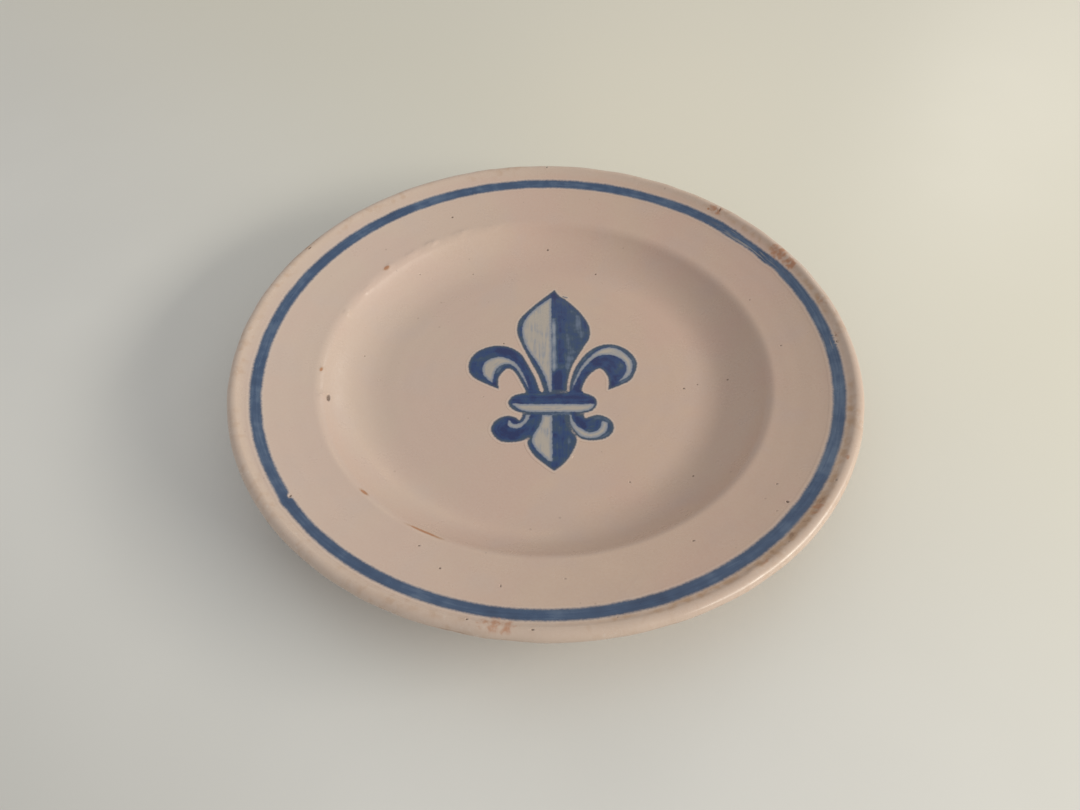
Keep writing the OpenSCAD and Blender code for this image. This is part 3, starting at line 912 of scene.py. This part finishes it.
def outer_side(x, y, z):
    """1 on the glazed face itself, 0 on the hidden underside of the coat."""
    r = np.hypot(x, y)
    face = np.interp(r, FACE[:, 0], FACE[:, 1])
    lip = np.hypot(r - LIP_C[0], z - LIP_C[1])
    return np.where(r < LIP_C[0], z > face - 0.2, lip > LIP_R - 0.2).astype(float)


def make_underside(name, line, material, node, cap=4):
    """A coat of glaze that the photograph doesn't show, rippled like the clay below it."""
    mesh = coat(name, line, cap)
    points, normals = vertex_array(mesh), normal_array(mesh)
    x, y, _ = points.T
    points += normals * back_relief(x, y)[:, None]
    face_attributes(mesh)
    move_vertices(mesh, settle(points))
    make_piece(mesh, material, node)


def make_clay(material):
    """The whole clay body; only its bare foot shows."""
    skin = inset(np.vstack([FACE, back_line()[1:]]), GLAZE + CLAY_GAP)
    base = inset(base_line(), GLAZE + CLAY_GAP)
    line = np.vstack([skin, foot_face(), base])
    verts, faces = revolve(line, ring_levels(line, 3), False)
    mesh = mesh_from("clay_plate", verts, faces)
    points = vertex_array(mesh)
    x, y, z = points.T
    bare = (z < BARE * 0.8).astype(float)
    points[:, 2] += bare * 0.03 * np.maximum(waves(x, y, 4, 51), 0)
    move_vertices(mesh, settle(points))
    make_piece(mesh, material, "clay_body")


# ---- materials ------------------------------------------------------------------------

def srgb(red, green, blue):
    """A colour as a screen shows it, 0 to 255, as the light it stands for."""
    parts = [v / 255 for v in (red, green, blue)]
    return tuple(v / 12.92 if v < 0.04045 else ((v + 0.055) / 1.055)**2.4 for v in parts) + (1,)


class Mixer:
    """Builds one material's nodes with a few short calls."""

    def __init__(self, name):
        self.material = bpy.data.materials.new(name)
        self.material.use_nodes = True
        self.tree = self.material.node_tree
        self.tree.nodes.clear()
        self.place = self.add("ShaderNodeTexCoord").outputs["Object"]

    def add(self, kind, sockets=None, **settings):
        node = self.tree.nodes.new(kind)
        for key, value in settings.items():
            setattr(node, key, value)
        for key, value in (sockets or {}).items():
            self.put(node.inputs[key], value)
        return node

    def put(self, socket, value):
        if isinstance(value, bpy.types.NodeSocket):
            self.tree.links.new(value, socket)
        else:
            socket.default_value = value

    def attribute(self, name, output="Fac"):
        return self.add("ShaderNodeAttribute", attribute_name=name).outputs[output]

    def maths(self, operation, first, second):
        return self.add("ShaderNodeMath", {0: first, 1: second}, operation=operation).outputs[0]

    def times(self, first, second):
        return self.maths("MULTIPLY", first, second)

    def plus(self, first, second):
        return self.maths("ADD", first, second)

    def vector(self, operation, *inputs):
        sockets = dict(enumerate(inputs))
        return self.add("ShaderNodeVectorMath", sockets, operation=operation).outputs

    def mix(self, factor, first, second):
        node = self.add("ShaderNodeMix", {0: factor, 6: first, 7: second}, data_type="RGBA")
        return node.outputs[2]

    def step(self, value, low, high, start=0.0, end=1.0):
        node = self.add("ShaderNodeMapRange", {"Value": value, "From Min": low, "From Max": high,
                                               "To Min": start, "To Max": end},
                        interpolation_type="SMOOTHSTEP")
        return node.outputs["Result"]

    def noise(self, size, detail=3.0, vector=None):
        """Cloudy noise with features of a size in millimetres."""
        scale = 1 / (size * MM) if vector is None else 1 / size
        sockets = {"Vector": vector or self.place, "Scale": scale, "Detail": detail}
        return self.add("ShaderNodeTexNoise", sockets).outputs["Fac"]

    def radial(self, size):
        """Noise that changes only round the plate, for smears that cross the lip."""
        flat = self.vector("MULTIPLY", self.place, (1, 1, 0))[0]
        return self.noise(size / 120, 2, self.vector("NORMALIZE", flat)[0])

    def across(self):
        """Position from the plate's left to its right, in millimetres."""
        apart = self.add("ShaderNodeSeparateXYZ", {0: self.place})
        return self.times(apart.outputs["X"], 1 / MM)

    def radius(self):
        """Distance from the plate's axis, in millimetres."""
        flat = self.vector("MULTIPLY", self.place, (1 / MM, 1 / MM, 0))[0]
        return self.vector("LENGTH", flat)["Value"]

    def dots(self, spacing, size, share):
        """Scattered round dots: 1 in a dot, 0 outside it."""
        flat = self.vector("MULTIPLY", self.place, (1, 1, 0.2))[0]
        cells = self.add("ShaderNodeTexVoronoi", {"Vector": flat, "Scale": 1 / (spacing * MM)})
        chance = self.add("ShaderNodeSeparateColor", {0: cells.outputs["Color"]})
        limit = self.times(chance.outputs["Green"], size / spacing)
        round_dot = self.maths("LESS_THAN", cells.outputs["Distance"], limit)
        chosen = self.maths("LESS_THAN", chance.outputs["Red"], share)
        return self.times(round_dot, chosen)

    def bump(self, height, depth, below=None):
        """Fine relief of a real depth in millimetres."""
        sockets = {"Height": height, "Distance": depth * MM, "Strength": 1.0}
        if below is not None:
            sockets["Normal"] = below
        return self.add("ShaderNodeBump", sockets).outputs["Normal"]

    def finish(self, colour, roughness, normal, ior=1.5):
        """The material, from its colour, its dullness and its fine relief."""
        shader = self.add("ShaderNodeBsdfPrincipled", {
            "Base Color": colour, "Roughness": roughness, "Normal": normal, "IOR": ior})
        self.add("ShaderNodeOutputMaterial", {"Surface": shader.outputs[0]})
        return self.material


GLAZE_IOR = 1.56
GLAZE_PINK = srgb(196, 167, 151)
GLAZE_WARM = srgb(196, 170, 152)
GLAZE_COOL = srgb(192, 168, 155)
GLAZE_PALE = srgb(213, 202, 192)
RIM_CREAM = srgb(197, 177, 161)
STAIN = srgb(176, 142, 112)
STAIN_DARK = srgb(122, 88, 64)
RED_CLAY = srgb(174, 123, 92)
DIRT_AND_PIT_SHADE = srgb(92, 72, 60)
CLAY_LIGHT = srgb(186, 134, 100)
CLAY_DARK = srgb(170, 116, 84)
CLAY_SAND = srgb(208, 168, 134)
CLAY_GRIT = srgb(120, 80, 60)
CLAY_RUBBED = srgb(128, 104, 88)
TABLE_LIGHT = srgb(223, 223, 219)
TABLE_GREY = srgb(219, 219, 215)
TABLE_PAINTED_WARM_LIGHT = srgb(222, 219, 205)
TABLE_PAINTED_SHADE = srgb(196, 196, 192)
WASH_GREY = srgb(176, 167, 156)
WASH_BLUE = srgb(132, 141, 157)
SLATE = srgb(60, 76, 94)

# A brush's colours from thin to thick, and how strongly each of its effects shows
LINE_BRUSH = {
    "colours": [(0.0, srgb(140, 148, 160)), (0.35, srgb(94, 113, 138)), (0.6, srgb(58, 81, 113)),
                (0.8, srgb(46, 68, 100)), (1.0, srgb(36, 50, 80))],
    "streak": 0.08, "cloud": 0.06, "outline": 0.15, "fringe": 0.2, "soft": 0.68}
LILY_BRUSH = {
    "colours": [(0.0, srgb(140, 148, 160)), (0.35, srgb(92, 108, 134)), (0.6, srgb(46, 70, 98)),
                (0.8, srgb(32, 62, 110)), (1.0, srgb(20, 40, 92))],
    "streak": 0.10, "cloud": 0.13, "outline": 0.72, "fringe": 0.3, "soft": 0.48}


def glaze_colour(m):
    """The tin glaze's colour, with its clouds, specks and stains, a painted sheen paling its left
    side, and dirt with painted shade in its pinholes.
    """
    tone = m.mix(m.step(m.noise(34), 0.38, 0.62), GLAZE_PINK, GLAZE_WARM)
    tone = m.mix(m.step(m.noise(20, 2), 0.5, 0.72, 0, 0.6), tone, GLAZE_COOL)
    # Painted sheen: paler towards the plate's left, whose rim and wall face the window's glare,
    # fading out by the right
    painted_sheen_left = m.step(m.across(), -115, 60, 0.34, 0)
    tone = m.mix(painted_sheen_left, tone, GLAZE_PALE)
    beyond_line = m.step(m.radius(), 117.5, 121)
    tone = m.mix(m.times(beyond_line, 0.75), tone, RIM_CREAM)
    grain = m.step(m.noise(0.9, 4), 0.35, 0.65, 0, 0.08)
    tone = m.mix(grain, tone, GLAZE_PALE)
    here_and_there = m.times(beyond_line, m.step(m.noise(24, 2), 0.42, 0.62, 0.15, 1))
    crust = m.times(m.step(m.noise(3.2, 5), 0.46, 0.68, 0, 0.34), here_and_there)
    tone = m.mix(crust, tone, STAIN)
    pale_spots = m.times(m.step(m.noise(2.0, 3), 0.6, 0.74, 0, 0.4), here_and_there)
    tone = m.mix(pale_spots, tone, GLAZE_PALE)
    on_lip = m.step(m.radius(), 120, 123.5, 0, 0.14)
    tone = m.mix(m.times(m.step(m.radial(2.6), 0.55, 0.8), on_lip), tone, STAIN)
    rough_stain = m.times(m.attribute("stain"), m.step(m.noise(2.2, 4), 0.3, 0.7, 0.6, 1.2))
    tone = m.mix(m.step(rough_stain, 0.05, 0.75, 0, 0.8), tone, STAIN)
    tone = m.mix(m.step(rough_stain, 0.75, 1.3, 0, 0.7), tone, STAIN_DARK)
    # Dark specks: dirt and painted shade in pinholes; the first set lies in the holes of glaze_bump,
    # the second, fainter set has no holes of its own
    pinhole_dirt_and_shade = m.times(m.dots(9, 0.36, 0.22), 0.6)
    pinhole_dirt_and_shade = m.plus(pinhole_dirt_and_shade, m.times(m.dots(5.3, 0.5, 0.25), 0.22))
    return m.mix(pinhole_dirt_and_shade, tone, DIRT_AND_PIT_SHADE)


def wear_and_pit_shade_colour(m, tone):
    """Bare clay, and pits darkened with dirt and painted shade, over whatever lies there."""
    broken = m.plus(m.attribute("clay"), m.step(m.noise(1.6, 4), 0.25, 0.75, -0.28, 0.14))
    tone = m.mix(m.step(broken, 0.1, 0.75, 0, 0.85), tone, RED_CLAY)
    # Pits darkened with dirt and painted shade
    pit = m.plus(m.attribute("pit_dirt_and_shade"), m.step(m.noise(0.5, 2), 0.2, 0.8, -0.2, 0.15))
    return m.mix(m.step(pit, 0.35, 0.9, 0, 0.8), tone, DIRT_AND_PIT_SHADE)


def glaze_roughness(m):
    """Glossy, with dull clouds, and rough where it is stained or chipped."""
    rough = m.step(m.noise(14, 4), 0.3, 0.7, 0.25, 0.36)
    rough = m.plus(rough, m.step(m.noise(1.6, 3), 0.45, 0.7, 0, 0.07))
    rough = m.plus(rough, m.times(m.attribute("stain"), 0.2))
    return m.plus(rough, m.times(m.attribute("clay"), 0.4))


def glaze_bump(m):
    """Orange peel, fine grit under the glaze and small pinholes."""
    skin = m.bump(m.noise(6.5, 2), 0.032)
    skin = m.bump(m.noise(1.3, 2), 0.003, skin)
    holes = m.times(m.dots(9, 0.36, 0.22), -1.0)
    return m.bump(holes, 0.10, skin)


def glazed(m, colour):
    """A finished glaze over a colour, worn where the plate is, with dirt and painted shade in its
    pits.
    """
    return m.finish(wear_and_pit_shade_colour(m, colour), glaze_roughness(m), glaze_bump(m), GLAZE_IOR)


def tin_glaze():
    m = Mixer("tin_glaze")
    return glazed(m, glaze_colour(m))


def colour_ramp(m, factor, colours):
    ramp = m.add("ShaderNodeValToRGB", {"Fac": factor})
    while len(ramp.color_ramp.elements) < len(colours):
        ramp.color_ramp.elements.new(0.5)
    for element, (place, colour) in zip(ramp.color_ramp.elements, colours):
        element.position = place
        element.color = colour
    return ramp.outputs["Color"]


def cobalt(name, colours, streak, cloud, outline, fringe, soft):
    """Brushed cobalt in the glaze: streaks and clouds, a slate outline, a pale fringe, wear."""
    m = Mixer(name)
    edge = m.plus(m.attribute("edge"), m.step(m.noise(0.9, 3), 0.2, 0.8, -0.16, 0.16))
    inked = m.step(edge, -soft, soft - 0.06, 1, 0)
    strokes = m.noise(1.0, 3, m.attribute("stroke", "Vector"))
    depth = m.plus(m.attribute("depth"), m.step(strokes, 0.25, 0.75, -streak, streak))
    depth = m.plus(depth, m.step(m.noise(4.2, 4), 0.3, 0.7, -cloud, cloud))
    paint = colour_ramp(m, depth, colours)
    paint = m.mix(m.step(edge, -1.5, -0.6, 0, outline), paint, SLATE)
    wash_edge = m.plus(m.attribute("wash"), m.step(m.noise(1.3, 3), 0.2, 0.8, -0.2, 0.2))
    patches = m.step(m.noise(6, 3), 0.4, 0.65, 0.15, 0.7)
    thin = m.times(m.step(strokes, 0.42, 0.7), patches)
    thin = m.maths("MAXIMUM", thin, m.step(wash_edge, -1.6, -0.3, 0, 0.85))
    paint = m.mix(m.step(wash_edge, -0.38, 0.34, 1, 0), paint, m.mix(thin, WASH_GREY, WASH_BLUE))
    flecks = m.times(m.attribute("worn"), m.step(strokes, 0.52, 0.62, 0, 0.6))
    paint = m.mix(flecks, paint, WASH_GREY)
    halo = m.step(m.attribute("edge"), 0.2, 1.1, fringe, 0)
    ground = m.mix(halo, glaze_colour(m), GLAZE_PALE)
    return glazed(m, m.mix(inked, ground, paint))


def fired_clay():
    """Bare earthenware: warm, sandy and dull, darker where the foot has rubbed."""
    m = Mixer("fired_clay")
    tone = m.mix(m.step(m.noise(9), 0.35, 0.65), CLAY_LIGHT, CLAY_DARK)
    tone = m.mix(m.step(m.noise(0.7, 4), 0.4, 0.65, 0, 0.5), tone, CLAY_SAND)
    tone = m.mix(m.times(m.dots(2.2, 0.5, 0.4), 0.6), tone, CLAY_GRIT)
    tone = m.mix(m.step(m.noise(14, 3), 0.5, 0.75, 0, 0.5), tone, CLAY_RUBBED)
    normal = m.bump(m.noise(0.45, 4), 0.06, m.bump(m.noise(2.5, 2), 0.08))
    rough = m.step(m.noise(3), 0.3, 0.7, 0.72, 0.9)
    return m.finish(tone, rough, normal)


def table_top():
    m = Mixer("table_top")
    tone = m.mix(m.step(m.noise(160, 3), 0.35, 0.65), TABLE_LIGHT, TABLE_GREY)
    # Painted light and shade on the table: warmer towards the far right, where the windows are, and
    # darker towards the near left corner
    towards_windows = m.vector("DOT_PRODUCT", m.place, (0.8, 1.0, 0))["Value"]
    tone = m.mix(m.step(towards_windows, -0.15, 0.25), tone, TABLE_PAINTED_WARM_LIGHT)
    tone = m.mix(m.step(towards_windows, -0.34, -0.2, 0.7, 0), tone, TABLE_PAINTED_SHADE)
    rough = m.step(m.noise(60, 3), 0.3, 0.7, 0.375, 0.395)
    normal = m.bump(m.noise(1.2, 2), 0.004)
    return m.finish(tone, rough, normal)


# ---- table, light and camera ----------------------------------------------------------

TABLE_DROP = 0.04            # keeps the table's surface apart from the foot's face


def make_table():
    """A plain pale table top, flat and larger than the view."""
    size, cells = 3000.0, 60
    line = np.linspace(-size / 2, size / 2, cells + 1)
    x, y = np.meshgrid(line, line)
    verts = np.stack([x.ravel(), y.ravel(), np.full(x.size, -TABLE_DROP)], 1)
    row = cells + 1
    faces = [(a, a + 1, a + row + 1, a + row) for j in range(cells)
             for a in range(j * row, j * row + cells)]
    mesh = mesh_from("table", verts, faces)
    mesh.materials.append(table_top())
    table = bpy.data.objects.new("table", mesh)
    bpy.context.collection.objects.link(table)


def aimed(position, target):
    """A placement that looks from a position to a target."""
    look = (Vector(target) - Vector(position)).normalized()
    turn = look.to_track_quat("-Z", "Y")
    return Matrix.Translation(position) @ turn.to_matrix().to_4x4()


def add_window(name, direction, distance, size, power, colour):
    """A large soft light, like a window in the given direction."""
    light = bpy.data.lights.new(name, "AREA")
    light.shape = "RECTANGLE"
    light.size, light.size_y = size
    light.energy = power
    light.color = colour
    lamp = bpy.data.objects.new(name, light)
    bpy.context.collection.objects.link(lamp)
    lamp.matrix_world = aimed(Vector(direction).normalized() * distance, (0, 0, 0))


def light_scene():
    add_window("window", (0.85, -0.30, 0.42), 1.3, (1.05, 0.24), 12.5, (1.0, 0.955, 0.85))
    add_window("far_window", (0.53, 0.74, 0.42), 1.6, (0.3, 0.3), 0.85, (1.0, 0.97, 0.92))
    add_window("room_lamp", (0.15, 0.86, 0.485), 1.6, (0.5, 0.3), 0.7, (1.0, 0.76, 0.42))
    world = bpy.data.worlds.new("room_light")
    world.use_nodes = True
    background = world.node_tree.nodes["Background"]
    background.inputs["Color"].default_value = (0.995, 0.987, 0.978, 1)
    background.inputs["Strength"].default_value = 0.53
    bpy.context.scene.world = world
    bpy.context.scene.view_settings.view_transform = "Standard"


EYE = (0.0, -0.2301, 0.2646)
YAW, PITCH, ROLL = -0.485, 49.75, -0.355
LENS = 27.03


def add_camera():
    """The photograph's view: above the plate's near side, looking down at it."""
    yaw, pitch, roll = (math.radians(v) for v in (YAW, PITCH, ROLL))
    ahead = Vector((math.sin(yaw) * math.cos(pitch), math.cos(yaw) * math.cos(pitch),
                    -math.sin(pitch)))
    right = ahead.cross(Vector((0, 0, 1))).normalized()
    up = right.cross(ahead)
    across = math.cos(roll) * right + math.sin(roll) * up
    upright = math.cos(roll) * up - math.sin(roll) * right
    data = bpy.data.cameras.new("camera")
    data.lens = LENS
    data.sensor_width = 36
    data.clip_start = 0.01
    camera = bpy.data.objects.new("camera", data)
    bpy.context.collection.objects.link(camera)
    camera.matrix_world = Matrix.Translation(EYE) @ Matrix(
        (across, upright, -ahead)).transposed().to_4x4()
    bpy.context.scene.camera = camera


# ---- put together ---------------------------------------------------------------------

glaze = tin_glaze()
make_face(glaze)
make_underside("back_glaze", back_line(), glaze, "glaze_back")
make_underside("base_glaze", base_line(), glaze, "glaze_base", cap=3)
make_clay(fired_clay())
paint_rim_line(cobalt("cobalt_line", **LINE_BRUSH))
lily = {name: cobalt(name, **LILY_BRUSH) for name in ("cobalt_shade", "cobalt_wash")}
lily["cobalt_line"] = lily["cobalt_shade"]       # the pale halves' outlines have its brush
paint_motif(lily)
make_table()
light_scene()
add_camera()
